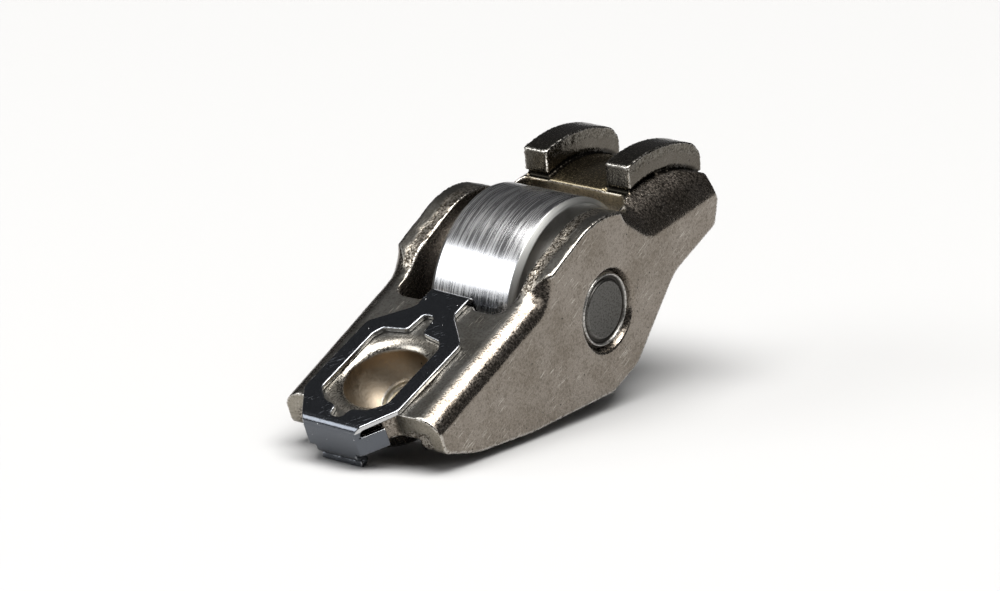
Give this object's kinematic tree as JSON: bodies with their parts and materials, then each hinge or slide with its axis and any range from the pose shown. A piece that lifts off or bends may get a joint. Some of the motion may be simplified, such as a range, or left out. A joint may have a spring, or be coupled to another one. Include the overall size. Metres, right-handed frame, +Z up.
{
  "type": "roller finger follower rocker arm",
  "caption": "Pressed-steel rocker arm with a ball socket and clip at one end, a needle-borne roller in the middle and a valve pallet at the other.",
  "frame": {"origin": "on the table, under the middle of the object's bounding box", "axes": "+Z up from the table; +X from the ball-socket end towards the valve end; +Y across, along the roller's axis. The lever lies pitched, socket end down, on its roller and the clip's front lip"},
  "size_m": [0.0474, 0.017, 0.0219],
  "materials": {
    "lever_steel": "case-hardened, tumbled and blasted, warm grey",
    "clip_steel": "blued spring steel, near black with bright cut edges",
    "roller_steel": "ground and polished bearing steel",
    "axle_steel": "hardened steel, matt ends with a bright staked ring",
    "washer_steel": "plain hardened steel",
    "needle_steel": "ground bearing steel"
  },
  "bodies": {
    "lever": {"lever_body": "lever_steel", "retaining_clip": "clip_steel", "axle_pin": "axle_steel", "thrust_washer_near": "washer_steel", "thrust_washer_far": "washer_steel"},
    "roller": {"roller_ring": "roller_steel"},
    "needles": {"needle_roller_01": "needle_steel", "needle_roller_02": "needle_steel", "needle_roller_03": "needle_steel", "needle_roller_04": "needle_steel", "needle_roller_05": "needle_steel", "needle_roller_06": "needle_steel", "needle_roller_07": "needle_steel", "needle_roller_08": "needle_steel", "needle_roller_09": "needle_steel", "needle_roller_10": "needle_steel", "needle_roller_11": "needle_steel", "needle_roller_12": "needle_steel", "needle_roller_13": "needle_steel", "needle_roller_14": "needle_steel"}
  },
  "joints": [
    {"name": "roller_spin", "type": "hinge", "parent": "lever", "child": "roller", "pos_m": [0.00549, 0, 0.0096], "axis": [0, 1, 0], "continuous": true},
    {"name": "needle_orbit", "type": "hinge", "parent": "lever", "child": "needles", "pos_m": [0.00549, 0, 0.0096], "axis": [0, 1, 0], "continuous": true}
  ],
  "couplings": [
    {"joint": "needle_orbit", "follows": "roller_spin", "ratio": 0.6137}
  ]
}
